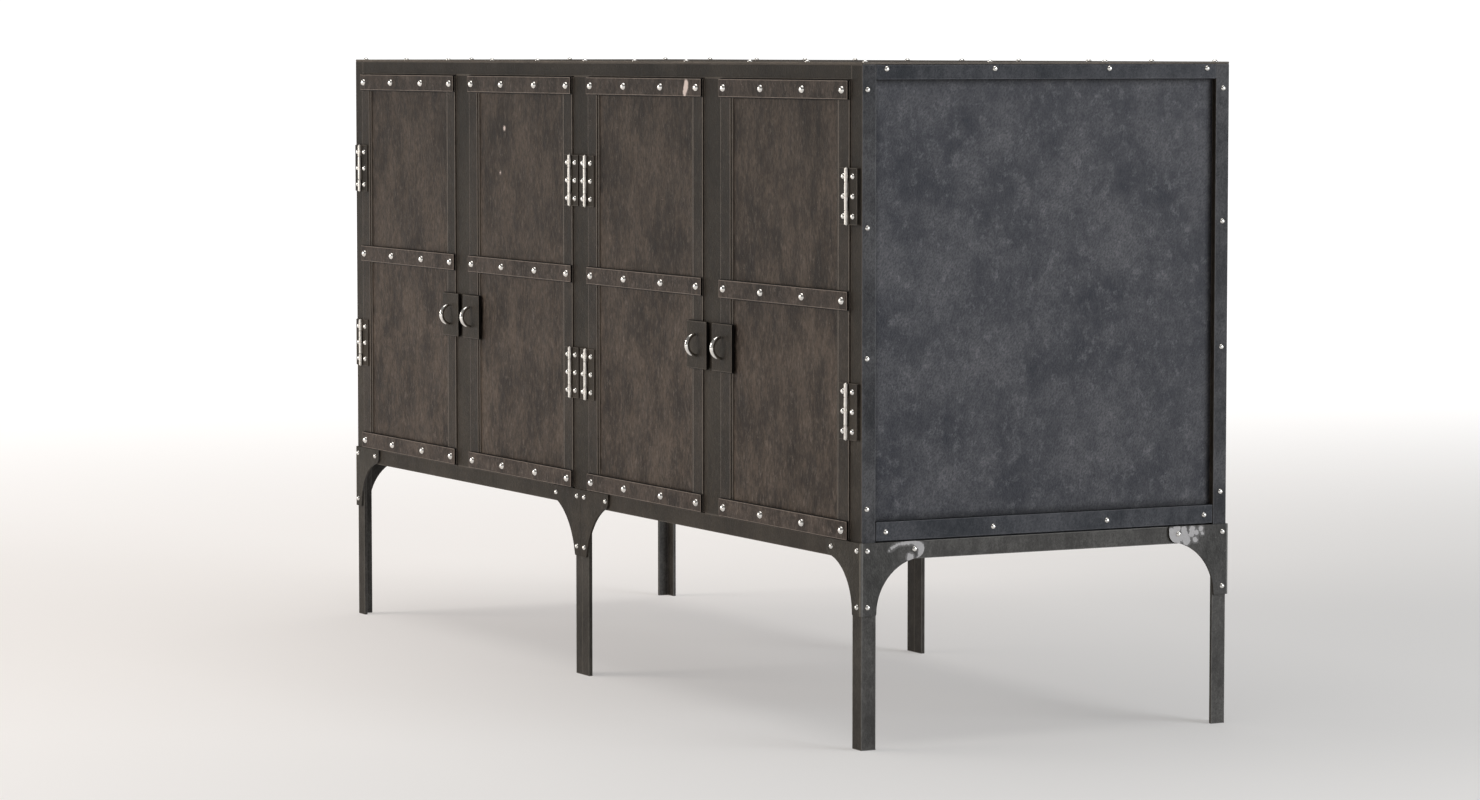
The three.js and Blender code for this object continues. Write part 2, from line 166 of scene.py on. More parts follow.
def patches(steel, plane, spots, ragged):
    """How deep, in metres, a place lies inside the round spots (two coordinates and a radius, in mm),
    with a torn outline. plane is (0, 1, 1) for spots on an end and (1, 0, 1) for the front."""
    flat = steel.node("ShaderNodeVectorMath", {"operation": "MULTIPLY"}, {0: steel.place, 1: plane})
    inside = None
    for across, up, radius in spots:
        centre = (across * MM * plane[0], across * MM * plane[1], up * MM)
        apart = steel.node("ShaderNodeVectorMath", {"operation": "DISTANCE"}, {0: flat, 1: centre},
                           output="Value")
        depth = radius * MM - apart
        inside = depth if inside is None else inside.maths("SMOOTH_MAX", inside, depth, 2.5 * MM)
    torn = steel.noise((420, 420, 420), detail=3.0, rough=0.7, shift=(4.0, 4.0, 2.0))
    return inside + (ragged - 0.5) * (5 * MM) + (torn - 0.5) * (4 * MM)


def patina(name, dark, light, rub, streaks, clouds, grain, bump=0.3, turn=0, spread=0.12, mottling=1.0,
           grained=0.5, painted_top_shade=0.0, rubbing=0.8, plane=None, spots=None, bare_and_glint=BARE_STEEL):
    """dark and light are the colours between which the steel drifts, and rub that of rubbed edges.
    streaks, clouds and grain are cells to the metre, and turn leans the grain. spread is half the
    span of noise over which the colour goes from dark to light. mottling and grained say how strongly
    the small patches and the grain show, and the top shade how much darker the steel is painted towards
    the top, a painted shade. spots are painted in the bare colour: worn bare steel, and on the doors also
    a painted highlight."""
    steel = Finish(name)
    streak = steel.noise(streaks, detail=7.0, rough=0.78)
    cloud = steel.noise(clouds, detail=6.0, rough=0.66, shift=(3.1, 1.7, 0.4))
    fine = steel.noise(grain, detail=3.0, rough=0.6, shift=(0.2, 0.9, 5.3), turn=turn)
    drift = steel.step(streak * 0.45 + cloud * 0.55, 0.5 - spread, 0.5 + spread)
    tint = steel.mix(drift, dark, light)
    mottle = steel.noise(tuple(c * 2.2 for c in streaks), detail=5.0, rough=0.8, shift=(5.0, 4.0, 9.0))
    tint = steel.mix(steel.step(mottle, 0.5, 0.72) * (0.5 * mottling), tint, rub)
    tint = steel.mix(steel.step(mottle, 0.48, 0.3) * (0.4 * mottling), tint, dark)
    tint = steel.mix(steel.step(fine, 0.58, 0.34) * grained, tint, dark)
    # Painted shade: higher up the steel is mixed towards near black, in place of the light that brightens its
    # lower parts.
    if painted_top_shade:
        height = steel.node("ShaderNodeSeparateXYZ", None, {0: steel.place}, output="Z")
        tint = steel.mix(steel.step(height, 0.3, 0.92) * painted_top_shade, tint, PAINTED_SHADE_BLACK)
    specks = steel.noise((210, 210, 210), detail=1.0, shift=(7.0, 2.0, 1.0))
    tint = steel.mix(steel.step(specks, 0.77, 0.81) * 0.4, tint, rub)
    ragged = steel.noise((110, 110, 110), detail=4.0, rough=0.7, shift=(1.0, 8.0, 3.0))
    rubbed = steel.step(steel.painted("wear") * 0.9 + ragged * 0.7, 0.8, 1.25)
    tint = steel.mix(rubbed * rubbing, tint, rub)
    # The spots are painted in the bare colour: worn bare steel, and on the doors also a painted highlight.
    if spots:
        depth = patches(steel, plane, spots, ragged)
        tint = steel.mix(steel.step(depth, -3 * MM, -1 * MM) * 0.2, tint, bare_and_glint)
        tint = steel.mix(steel.step(depth, -0.3 * MM, 0.6 * MM) * 0.9, tint, bare_and_glint)
    # Painted shade: the mesh's "scale" number mixes the steel towards near black.
    tint = steel.mix(steel.painted("scale") * 0.92, tint, PAINTED_SHADE_BLACK)
    relief = {"Strength": bump, "Distance": 1.5 * MM, "Height": fine * 0.8 + streak * 0.2}
    normal = steel.node("ShaderNodeBump", None, relief)
    steel.shader.inputs["Specular IOR Level"].default_value = 0.1
    return steel.surface(Base_Color=tint, Roughness=0.5 + (streak - 0.5) * 0.5, Normal=normal)


# Small bright marks on the doors, and a painted highlight: the three spots 352 to 357 mm right of the
# middle and 870 to 882 mm up paint a streak of reflected light on a top strap. Each is the distance to
# the right of the middle, height and radius, in mm.
DOOR_SCUFFS_AND_GLINT = [(-276, 810, 3.0), (-291, 742, 1.5), (352, 870, 5), (355, 876, 6), (357, 882, 6)]
DOOR_STEEL = patina("door_steel", colour(38, 32, 28), colour(89, 78, 69), colour(122, 111, 102),
                    streaks=(70, 70, 32), clouds=(13, 13, 8), grain=(300, 300, 150), bump=0.4,
                    painted_top_shade=0.34, rubbing=0.6, plane=(1, 0, 1), spots=DOOR_SCUFFS_AND_GLINT,
                    bare_and_glint=colour(205, 190, 183))
STRAP_STEEL = patina("strap_steel", colour(40, 34, 30), colour(84, 74, 67), colour(130, 119, 111),
                     streaks=(70, 70, 40), clouds=(20, 13, 20), grain=(300, 300, 200), bump=0.4,
                     painted_top_shade=0.3, rubbing=0.8, plane=(1, 0, 1), spots=DOOR_SCUFFS_AND_GLINT,
                     bare_and_glint=colour(205, 190, 183))
FRAME_STEEL = patina("frame_steel", colour(40, 36, 31), colour(66, 60, 53), colour(100, 93, 86),
                     streaks=(90, 90, 45), clouds=(9, 9, 7), grain=(400, 400, 300), bump=0.4,
                     mottling=0.6, painted_top_shade=0.45, rubbing=0.55)
STILE_STEEL = patina("stile_steel", colour(40, 36, 32), colour(66, 59, 53), colour(118, 110, 102),
                     streaks=(90, 90, 45), clouds=(9, 9, 7), grain=(400, 400, 300), bump=0.4,
                     mottling=0.6, painted_top_shade=0.3, rubbing=0.95)
TOP_STEEL = patina("top_steel", colour(38, 34, 30), colour(78, 70, 62), colour(112, 104, 96),
                   streaks=(30, 60, 60), clouds=(7, 9, 9), grain=(300, 300, 300), bump=0.4, rubbing=0.4)
SHEET_STEEL = patina("sheet_steel", colour(44, 45, 50), colour(82, 81, 83), colour(118, 116, 118),
                     streaks=(30, 30, 26), clouds=(8, 8, 8), grain=(400, 400, 240), bump=1.0, turn=40,
                     spread=0.17, mottling=0.8, grained=0.5, rubbing=0.0)
# Cooler, lighter copies of the frame steel for the parts and faces that look to the ends and the back: a
# painted light.
END_LIT_STEEL = patina("end_frame_lit_steel", colour(38, 40, 44), colour(72, 72, 75), colour(92, 92, 95),
                   streaks=(60, 60, 40), clouds=(9, 9, 9), grain=(400, 400, 240), bump=1.0, turn=40,
                   mottling=0.6, grained=0.5, painted_top_shade=0.15, rubbing=0.35)
POST_SIDE_LIT_STEEL = patina("post_side_lit_steel", colour(42, 42, 44), colour(79, 78, 79), colour(98, 97, 98),
                         streaks=(60, 60, 40), clouds=(9, 9, 9), grain=(400, 400, 240), bump=1.0, turn=40,
                         mottling=0.6, grained=0.5, painted_top_shade=0.15, rubbing=0.35)
LEG_STEEL = patina("leg_steel", colour(44, 41, 37), colour(70, 66, 61), colour(104, 100, 94),
                   streaks=(80, 80, 45), clouds=(16, 16, 10), grain=(400, 400, 300), bump=0.5,
                   mottling=0.5, rubbing=0.6)
# A lighter, cooler copy of the leg steel for faces that look to the ends: a painted light.
LEG_SIDE_LIT_STEEL = patina("leg_side_lit_steel", colour(54, 52, 50), colour(83, 81, 78), colour(110, 108, 105),
                        streaks=(80, 80, 45), clouds=(16, 16, 10), grain=(400, 400, 240), bump=0.8,
                        turn=40, mottling=0.5, grained=0.6, rubbing=0.5)

# The bare patches at the tips of the end brackets' arms: distance from the corner, height and radius.
FRONT_TIP = [(40, 266, 1), (44, 269, 1.8), (48, 271, 2.5), (52, 273, 2.6), (56, 274, 2.6), (60, 275, 2.6),
             (64, 275, 2.6), (68, 276, 2.8), (72, 276, 3), (76, 276, 3.2), (80, 275, 3.6), (84, 273, 4.4),
             (88, 270, 5), (90, 266, 5), (90, 262, 5), (89, 258, 4.5), (86, 254, 3.5), (74, 257, 3.6),
             (71, 255, 3.6), (74, 253, 3.6), (71, 259, 2.6)]
REAR_TIP = [(90, 268, 8), (89, 260, 8), (82, 274, 6), (77, 262, 6.5), (82, 254, 7), (70, 272, 5),
            (66, 258, 6.5), (68, 266, 5), (58, 266, 4.5), (57, 272, 5), (52, 258, 4), (50, 268, 4),
            (43, 273, 4), (40, 266, 2.5)]
FRONT_CORNER = -278
REAR_CORNER = 296
PLATE_SPOTS = [(FRONT_CORNER + u, z, r) for u, z, r in FRONT_TIP]
PLATE_SPOTS += [(REAR_CORNER - u, z, r) for u, z, r in REAR_TIP]
PLATE_STEEL = patina("bracket_steel", colour(44, 41, 36), colour(70, 66, 60), colour(116, 112, 105),
                     streaks=(80, 80, 45), clouds=(16, 16, 10), grain=(400, 400, 300), bump=0.6,
                     mottling=0.4, rubbing=0.7)
# A lighter, cooler copy of the bracket steel for faces that look to the ends, a painted light; it also
# carries the bare patches at the arm tips.
PLATE_SIDE_LIT_STEEL = patina("bracket_side_lit_steel", colour(47, 46, 44), colour(75, 73, 71), colour(114, 112, 109),
                          streaks=(80, 80, 45), clouds=(16, 16, 10), grain=(400, 400, 300), bump=0.6,
                          mottling=0.4, rubbing=0.7, plane=(0, 1, 1), spots=PLATE_SPOTS)


# %% [markdown]
# ## Bright steel
# Rivets, knuckles and the half rings are polished. A metal's base colour is what it reflects, so it is
# pale, and a little uneven roughness keeps the reflections from looking like a mirror's.


# %% Bright steel, and the boards inside
def bright(name, shine, rough):
    metal = Finish(name)
    smudge = metal.noise((150, 150, 150), detail=3.0)
    metal.shader.inputs["Metallic"].default_value = 1.0
    tint = metal.mix(metal.step(smudge, 0.35, 0.75) * 0.4, shine, colour(150, 146, 140))
    return metal.surface(Base_Color=tint, Roughness=rough + smudge * 0.12)


RIVET_STEEL = bright("rivet_steel", colour(238, 236, 232), 0.06)
KNUCKLE_STEEL = bright("knuckle_steel", colour(226, 222, 216), 0.28)


def stained_board(name, dark, light):
    wood = Finish(name)
    rings = wood.noise((6, 60, 60), detail=6.0, rough=0.6)
    pores = wood.noise((60, 900, 900), detail=2.0)
    tint = wood.mix(wood.step(rings, 0.3, 0.7), dark, light)
    tint = wood.mix(wood.step(pores, 0.55, 0.7) * 0.5, tint, dark)
    relief = {"Strength": 0.2, "Distance": 0.2 * MM, "Height": pores}
    normal = wood.node("ShaderNodeBump", None, relief)
    return wood.surface(Base_Color=tint, Roughness=0.62 + pores * 0.15, Normal=normal)


BOARD = stained_board("stained_board", colour(40, 30, 23), colour(66, 50, 38))

# %% [markdown]
# ## Bars with rubbed edges
# Nearly every part of the frame is a bar, strip or sheet with square corners. A real one never has a
# sharp corner: it catches a thin line of light and loses its patina there first. So each bar starts as a
# bmesh cube brought to size, its edges are bevelled, and each face is inset by a narrow band. The band's
# outer corners carry wear 1 and its inner corners 0, which fades the rubbing over its width.


# %% Bars
def layer(bm, name):
    return bm.verts.layers.float.get(name) or bm.verts.layers.float.new(name)


def rub_edges(bm, rounding, band, front=None):
    """Bevels sharp edges, then paints wear along them. Given a front direction, only the front's outline
    is rubbed, and the faces behind it are painted near black, a painted shade on the bar's sides."""
    sharp = [e for e in bm.edges if e.calc_face_angle(0) > 0.6]
    bmesh.ops.bevel(bm, geom=sharp, offset=rounding, segments=2, profile=0.5,
                    affect="EDGES", material=-1, clamp_overlap=True)
    wear, scale = layer(bm, "wear"), layer(bm, "scale")
    for vert in bm.verts:
        vert[wear] = 1.0
    broad = [f for f in bm.faces if shortest_side(f) > 4 * rounding]
    for face in broad:
        width = min(band, shortest_side(face) * 0.3)
        bmesh.ops.inset_individual(bm, faces=[face], thickness=width, use_even_offset=True)
        for vert in face.verts:
            vert[wear] = 0.0
    # Painted shade: the faces behind the front are marked to be near black.
    if front is not None:
        foremost = max(v.co.dot(front) for v in bm.verts)
        for vert in bm.verts:
            if foremost - vert.co.dot(front) > 0.9 * rounding:
                vert[wear] = 0.0
                vert[scale] = 1.0


def shortest_side(face):
    return min(e.calc_length() for e in face.edges)


def bar(low, high, rounding=0.5 * MM, band=2.2 * MM, front=None):
    low, high = Vector(low), Vector(high)
    bm = bmesh.new()
    bmesh.ops.create_cube(bm, size=1.0)
    bmesh.ops.scale(bm, vec=high - low, verts=bm.verts)
    bmesh.ops.translate(bm, vec=(low + high) / 2, verts=bm.verts)
    rub_edges(bm, rounding, band, front)
    return bm


def make(name, bm, body, material, replaces=(), smooth=False, lit_side_material=None):
    """Turns a bmesh into a piece that rides on a body and stands for CAD nodes. A second material goes on
    the faces that look to the left or right: a cooler, lighter copy of the steel, a painted light."""
    mesh = bpy.data.meshes.new(name)
    for face in bm.faces:
        face.smooth = smooth
        if lit_side_material and abs(face.normal.x) > 0.7:
            face.material_index = 1
    bm.to_mesh(mesh)
    bm.free()
    mesh.materials.append(material)
    if lit_side_material:
        mesh.materials.append(lit_side_material)
    piece = bpy.data.objects.new(name, mesh)
    bpy.context.scene.collection.objects.link(piece)
    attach(piece, body)
    if replaces:
        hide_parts(*replaces)
    return piece


# %% [markdown]
# ## Rivets
# A rivet's head is a dome a little lower than a half ball. There are over two hundred, so one head is
# spun from an arc with few faces, shaded smooth, and copied to every place in a row. A row is one piece.

# %% Rivets
HEAD_STEPS = 14
HEAD_RINGS = 4


def head_shape(radius, height):
    """A dome standing on the XY plane: an arc spun round the Z axis."""
    bm = bmesh.new()
    ball = (radius ** 2 + height ** 2) / (2 * height)
    reach = math.asin(min(1.0, radius / ball)) if height < ball else math.pi / 2
    tip = bm.verts.new((0, 0, height))
    last = tip
    arc = [tip]
    for ring in range(1, HEAD_RINGS + 1):
        angle = reach * ring / HEAD_RINGS
        point = (ball * math.sin(angle), 0, height - ball * (1 - math.cos(angle)))
        arc.append(bm.verts.new(point))
        bm.edges.new((last, arc[-1]))
        last = arc[-1]
    foot = bm.verts.new((radius, 0, -0.3 * MM))
    bm.edges.new((last, foot))
    bmesh.ops.spin(bm, geom=bm.verts[:] + bm.edges[:], cent=(0, 0, 0), axis=(0, 0, 1),
                   angle=math.tau, steps=HEAD_STEPS, use_merge=True)
    bmesh.ops.remove_doubles(bm, verts=bm.verts, dist=0.01 * MM)
    rim = [e for e in bm.edges if e.is_boundary]
    bmesh.ops.holes_fill(bm, edges=rim, sides=0)
    bmesh.ops.recalc_face_normals(bm, faces=bm.faces)
    mesh = bpy.data.meshes.new("rivet_head")
    bm.to_mesh(mesh)
    bm.free()
    return mesh


BIG_HEAD = head_shape(5.75 * MM, 4.5 * MM)
SMALL_HEAD = head_shape(4.1 * MM, 3.0 * MM)
HINGE_HEAD = head_shape(4.25 * MM, 3.0 * MM)
print("a rivet's head has", len(BIG_HEAD.polygons), "faces")

FACING = {
    "front": Matrix.Rotation(math.radians(90), 4, "X"),
    "back": Matrix.Rotation(math.radians(-90), 4, "X"),
    "right": Matrix.Rotation(math.radians(90), 4, "Y"),
    "left": Matrix.Rotation(math.radians(-90), 4, "Y"),
    "up": Matrix.Identity(4),
}


def rivet_row(name, head, facing, points, body="carcass"):
    bm = bmesh.new()
    for point in points:
        old = set(bm.verts)
        bm.from_mesh(head)
        new = [v for v in bm.verts if v not in old]
        place = Matrix.Translation(Vector(point)) @ FACING[facing]
        bmesh.ops.transform(bm, matrix=place, verts=new)
    return make(name, bm, body, RIVET_STEEL, smooth=True)


# %% [markdown]
# ## Where things are
# Positions come from the CAD nodes' boxes. A node's box holds its rivets too, so the plates' own
# thicknesses are named here.

# %% Sizes taken from the frame
STRAP_THICK = 3.25 * MM
STRAP_HIGH = 24.75 * MM
SHEET = 3 * MM
RECESS = 9.5 * MM
BRACKET_THICK = 3 * MM
SMALL_RIVET = 3 * MM
BOARD_THICK = 18 * MM
RAIL_GAP = 0.4 * MM

top_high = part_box("top")[1]
rail_low, rail_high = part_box("front_top_rail")
floor_low, floor_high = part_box("front_base_rail_and_floor")
middle_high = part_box("middle_mullion_and_partition")[1]
leg_low, leg_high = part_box("middle_leg_front")

RIGHT = top_high.x
FRONT_Y = rail_low.y
BACK_Y = top_high.y
MID_Y = (FRONT_Y + BACK_Y) / 2
HALF_DEPTH = (BACK_Y - FRONT_Y) / 2
TOP_Z = top_high.z - SMALL_RIVET
SHEET_Z = TOP_Z - SHEET
BASE_LOW = floor_low.z
BASE_TOP = floor_high.z
OPENING_TOP = rail_low.z
RAIL_END = rail_high.x
INNER_X = RIGHT - RECESS - SHEET
INNER_Y = BACK_Y - RECESS - SHEET
FRAME_BACK = rail_high.y
POST_SIDE = 21 * MM
print("width, depth, height in mm:", [round(v / MM) for v in (2 * RIGHT, BACK_Y - FRONT_Y, TOP_Z)])


def from_front(mm):
    return FRONT_Y + mm * MM


def from_left(mm):
    return -RIGHT + mm * MM


# %% [markdown]
# ## Posts and legs
# Each corner post is a steel angle, and the leg below it is a lighter one. An angle is rolled, so its
# outer corner is slightly round. It is drawn as its L-shaped section and extruded to its length, which
# gives one clean skin with no seam between its two leaves.


# %% Angles
def angle_iron(x_sign, y_sign, wide, deep, thick_x, thick_y, low, high, corner):
    """An L section with its outer corner at corner, leaves running inwards, extruded from low to high."""
    outline = [(0, 0), (wide, 0), (wide, thick_y), (thick_x, thick_y), (thick_x, deep), (0, deep)]
    bm = bmesh.new()
    verts = [bm.verts.new((corner[0] + x_sign * u, corner[1] + y_sign * v, low)) for u, v in outline]
    section = bm.faces.new(verts)
    grown = bmesh.ops.extrude_face_region(bm, geom=[section])
    risen = [g for g in grown["geom"] if isinstance(g, bmesh.types.BMVert)]
    bmesh.ops.translate(bm, vec=(0, 0, high - low), verts=risen)
    bmesh.ops.recalc_face_normals(bm, faces=bm.faces)
    rub_edges(bm, 0.6 * MM, 2.4 * MM)
    return bm


POST_RIVETS_Z = [322.5 * MM, 522.5 * MM, 695.5 * MM, 877.75 * MM]
POST_FACE = 30 * MM
POST_RIVET_IN = 8
LEG_FACE = 25 * MM
LEG_SIDE = 22 * MM
LEG_THICK = 5 * MM
SIGNS = {"left": -1, "right": 1}
ENDS = {"front": 1, "rear": -1}

for side, sx in SIGNS.items():
    for end, sy in ENDS.items():
        node = f"post_{end}_{side}"
        corner = (sx * RIGHT, FRONT_Y if sy > 0 else BACK_Y)
        post = angle_iron(-sx, sy, POST_FACE, POST_SIDE, RECESS, RECESS, BASE_LOW, SHEET_Z, corner)
        make(f"{node}_angle", post, "carcass", FRAME_STEEL, [node],
             lit_side_material=POST_SIDE_LIT_STEEL)
        leg = angle_iron(-sx, sy, LEG_FACE, LEG_SIDE, LEG_THICK, LEG_THICK, 0, BASE_LOW, corner)
        make(f"leg_{end}_{side}", leg, "carcass", LEG_STEEL, [node],
             lit_side_material=LEG_SIDE_LIT_STEEL)
        y = from_front(POST_RIVET_IN) if sy > 0 else BACK_Y - RECESS
        rivet_row(f"{node}_rivets", SMALL_HEAD, side, [(sx * RIGHT, y, z) for z in POST_RIVETS_Z])

# %% [markdown]
# The middle legs are two flats side by side, one from each half of the base, with a hairline between.

# %% Middle legs
SEAM = 0.15 * MM
for end, node in (("front", "middle_leg_front"), ("rear", "middle_leg_and_bracket_rear")):
    y0 = FRONT_Y if end == "front" else BACK_Y - (leg_high.y - leg_low.y)
    y1 = y0 + (leg_high.y - leg_low.y)
    for side, sx in SIGNS.items():
        x0, x1 = sorted((sx * SEAM, sx * leg_high.x))
        flat = bar((x0, y0, 0), (x1, y1, BASE_LOW))
        make(f"middle_leg_{end}_{side}", flat, "carcass", LEG_STEEL, [node])

# %% [markdown]
# ## Brackets
# A corner bracket is one plate with a concave lower edge, bent round the corner. It is made as a ribbon:
# an upright edge at one tip is extruded station by station to the other tip, each station's lower end
# following the curve, and the ribbon is then given its thickness with solidify. Its wear is painted on
# its corners, and the bare, flaked patches at the arm tips belong to the steel's own recipe.

# %% The gusset's curve
ARM = 94 * MM
TIP = 13 * MM
CURVE_STEPS = 14
TIP_STEPS = 5
CORNER_CURVE = {"low": 180 * MM, "radius": 74 * MM, "u": 95 * MM, "z": 182 * MM}
MIDDLE_CURVE = {"low": 178 * MM, "radius": 103 * MM, "u": 121 * MM, "z": 159.5 * MM}


def stations(curve):
    """(u, lower z) from the corner out to the arm's tip."""
    low, radius, cu, cz = (curve[k] for k in ("low", "radius", "u", "z"))
    start = math.asin(max(0.0, low - cz) / radius)
    end = math.acos((cu - (ARM - TIP)) / radius)
    made = [(1.5 * MM, low), (cu - radius * math.cos(start) - 4 * MM, low)]
    made.append((cu - radius * math.cos(start) - 1.2 * MM, low))
    for i in range(CURVE_STEPS + 1):
        a = start + (end - start) * i / CURVE_STEPS
        lift = 1.0 * MM if i == 0 else 0
        made.append((cu - radius * math.cos(a), max(low + lift, cz + radius * math.sin(a))))
    tip_z = made[-1][1]
    for i in range(1, TIP_STEPS + 1):
        a = math.radians(90 * i / TIP_STEPS)
        made.append((ARM - TIP + TIP * math.sin(a), tip_z + TIP * (1 - math.cos(a))))
    return made


def ribbon(points, top):
    """A sheet without thickness. points are (x, y, lower z) along the plate's outer face."""
    bm = bmesh.new()
    x, y, z = points[0]
    edge = bm.edges.new((bm.verts.new((x, y, z)), bm.verts.new((x, y, top))))
    for x, y, z in points[1:]:
        grown = bmesh.ops.extrude_edge_only(bm, edges=[edge])["geom"]
        edge = next(g for g in grown if isinstance(g, bmesh.types.BMEdge))
        lower, upper = sorted(edge.verts, key=lambda v: v.co.z)
        lower.co = (x, y, z)
        upper.co = (x, y, top)
    bmesh.ops.recalc_face_normals(bm, faces=bm.faces)
    return bm


def plate_from(bm, outward, thick):
    """Turns the ribbon to face outward at its first face and thickens it inwards."""
    bm.faces.ensure_lookup_table()
    if bm.faces[0].normal.dot(outward) < 0:
        bmesh.ops.reverse_faces(bm, faces=bm.faces)
    bmesh.ops.solidify(bm, geom=bm.faces[:], thickness=thick)
    bmesh.ops.recalc_face_normals(bm, faces=bm.faces)
    return bm


# %% Corner brackets
BEND = 3.0 * MM
BEND_STEPS = 4
BEND_WEAR = 0.95
PLATE_WEAR = 0.45
CORNER_RIVETS = [(7.5 * MM, 267 * MM), (79 * MM, 267 * MM), (7.5 * MM, 191.75 * MM)]


def corner_points(sx, sy):
    """The bracket's outer face seen from above: arm, round bend, arm."""
    x0, y0 = sx * (RIGHT + BRACKET_THICK), (FRONT_Y if sy > 0 else BACK_Y) - sy * BRACKET_THICK
    leaf = stations(CORNER_CURVE)
    low = CORNER_CURVE["low"]
    first = [(x0 - sx * (u + BRACKET_THICK), y0, z) for u, z in reversed(leaf)]
    bend = []
    for i in range(BEND_STEPS + 1):
        a = math.radians(90 * i / BEND_STEPS)
        bend.append((x0 - sx * BEND * (1 - math.sin(a)), y0 + sy * BEND * (1 - math.cos(a)), low))
    second = [(x0, y0 + sy * (u + BRACKET_THICK), z) for u, z in leaf]
    return first + bend + second


def in_corner(place):
    """Whether a place lies within the round bend of a corner bracket."""
    from_end = RIGHT + BRACKET_THICK - abs(place.x)
    from_face = HALF_DEPTH + BRACKET_THICK - abs(place.y - MID_Y)
    return from_end < 1.2 * BEND and from_face < 1.2 * BEND


def paint_plate(bm):
    """Light rubbing all over a bracket, and more along its bend."""
    wear = layer(bm, "wear")
    for vert in bm.verts:
        vert[wear] = BEND_WEAR if in_corner(vert.co) else PLATE_WEAR


for side, sx in SIGNS.items():
    for end, sy in ENDS.items():
        node = f"corner_bracket_{end}_{side}"
        face_y = FRONT_Y if sy > 0 else BACK_Y
        plate = ribbon(corner_points(sx, sy), BASE_TOP)
        plate_from(plate, Vector((0, -sy, 0)), BRACKET_THICK)
        paint_plate(plate)
        make(f"{node}_plate", plate, "carcass", PLATE_STEEL, [node],
             lit_side_material=PLATE_SIDE_LIT_STEEL)
        flat = [(sx * (RIGHT - u), face_y - sy * BRACKET_THICK, z) for u, z in CORNER_RIVETS]
        rivet_row(f"{node}_{end}_rivets", SMALL_HEAD, "front" if sy > 0 else "back", flat)
        flank = [(sx * (RIGHT + BRACKET_THICK), face_y + sy * u, z) for u, z in CORNER_RIVETS]
        rivet_row(f"{node}_side_rivets", SMALL_HEAD, side, flank)

# %% [markdown]
# A middle bracket is two flat gussets that meet on the middle legs with the same hairline between them.
# They come from the same ribbon, with a wider curve and no bend.

# %% Middle brackets
MIDDLE_RIVETS = [(85 * MM, 267 * MM), (12.5 * MM, 267 * MM), (12.5 * MM, 191.75 * MM)]
MIDDLE_NODES = {"front": "middle_bracket_front", "rear": "middle_leg_and_bracket_rear"}

for end, sy in ENDS.items():
    face_y = (FRONT_Y if sy > 0 else BACK_Y) - sy * BRACKET_THICK
    for side, sx in SIGNS.items():
        leaf = [(SEAM, MIDDLE_CURVE["low"])] + stations(MIDDLE_CURVE)
        plate = ribbon([(sx * u, face_y, z) for u, z in leaf], BASE_TOP)
        plate_from(plate, Vector((0, -sy, 0)), BRACKET_THICK)
        paint_plate(plate)
        make(f"middle_gusset_{end}_{side}", plate, "carcass", FRAME_STEEL,
             [MIDDLE_NODES[end]])
        points = [(sx * u, face_y, z) for u, z in MIDDLE_RIVETS]
        rivet_row(f"middle_gusset_{end}_{side}_rivets", SMALL_HEAD, "front" if sy > 0 else "back",
                  points)

# %% [markdown]
# ## The front frame
# The front is a top rail, a base rail and three uprights, which stand between the doors.

# %% Rails and uprights
make("top_rail_bar", bar((-RAIL_END, FRONT_Y, OPENING_TOP), (RAIL_END, FRAME_BACK, SHEET_Z)),
     "carcass", FRAME_STEEL, ["front_top_rail"])
make("base_rail_bar", bar((-RAIL_END, FRONT_Y, BASE_LOW), (RAIL_END, FRAME_BACK, BASE_TOP)),
     "carcass", FRAME_STEEL, ["front_base_rail_and_floor"])
make("floor_board", bar((-INNER_X, FRAME_BACK, BASE_TOP - BOARD_THICK), (INNER_X, INNER_Y, BASE_TOP)),
     "carcass", BOARD, ["front_base_rail_and_floor"])

mullion_half = middle_high.x
for name in ("mullion_left", "mullion_right", "middle_mullion_and_partition"):
    low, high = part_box(name)
    centre = (low.x + high.x) / 2
    upright = bar((centre - mullion_half, FRONT_Y, BASE_TOP),
                  (centre + mullion_half, FRAME_BACK, OPENING_TOP))
    make(name.split("_and_")[0] + "_bar", upright, "carcass", FRAME_STEEL, [name])

# %% [markdown]
# ## Inside
# A board parts the cabinet behind the middle upright. In each half a shelf lies on two cleats.

# %% Boards inside
HALF_BOARD = 9 * MM
SHELF_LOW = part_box("shelf_left")[0].z
CLEAT = 12 * MM
CLEAT_FRONT, CLEAT_BACK = 40, 540
partition = bar((-HALF_BOARD, FRAME_BACK, BASE_TOP), (HALF_BOARD, INNER_Y, SHEET_Z - BOARD_THICK))
make("partition_board", partition, "carcass", BOARD, ["middle_mullion_and_partition"])
ceiling = bar((-INNER_X, FRAME_BACK, SHEET_Z - BOARD_THICK), (INNER_X, INNER_Y, SHEET_Z))
make("top_board", ceiling, "carcass", BOARD, ["top"])

for side, sx in SIGNS.items():
    low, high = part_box(f"shelf_{side}")
    make(f"shelf_{side}_board", bar(low, high), "carcass", BOARD, [f"shelf_{side}"])
    for place, x in (("outer", INNER_X - CLEAT), ("inner", HALF_BOARD)):
        x0, x1 = sorted((sx * x, sx * (x + CLEAT)))
        strip = bar((x0, from_front(CLEAT_FRONT), SHELF_LOW - CLEAT), (x1, from_front(CLEAT_BACK), SHELF_LOW))
        make(f"cleat_{place}_{side}", strip, "carcass", BOARD)

# %% [markdown]
# ## The ends and the back
# A thin sheet lies behind a frame of rails, and a riveted strap closes the foot of each end. Where the
# sheet meets its frame, the field carries a dark border that fades inwards, a painted shade.

# %% Ends
SIDE_RIVETS = [36.75, 202, 381.5, 538.25]
STRAP_LOW, STRAP_TOP = 279.5 * MM, 304.75 * MM
RAIL_RIVET_Z, STRAP_RIVET_Z = 905 * MM, 291 * MM
PAINTED_SHADE_BAND = 13 * MM
LIP = 2 * MM
FIELD_THICK = 0.6 * MM
y0, y1 = FRONT_Y + POST_SIDE, BACK_Y - POST_SIDE

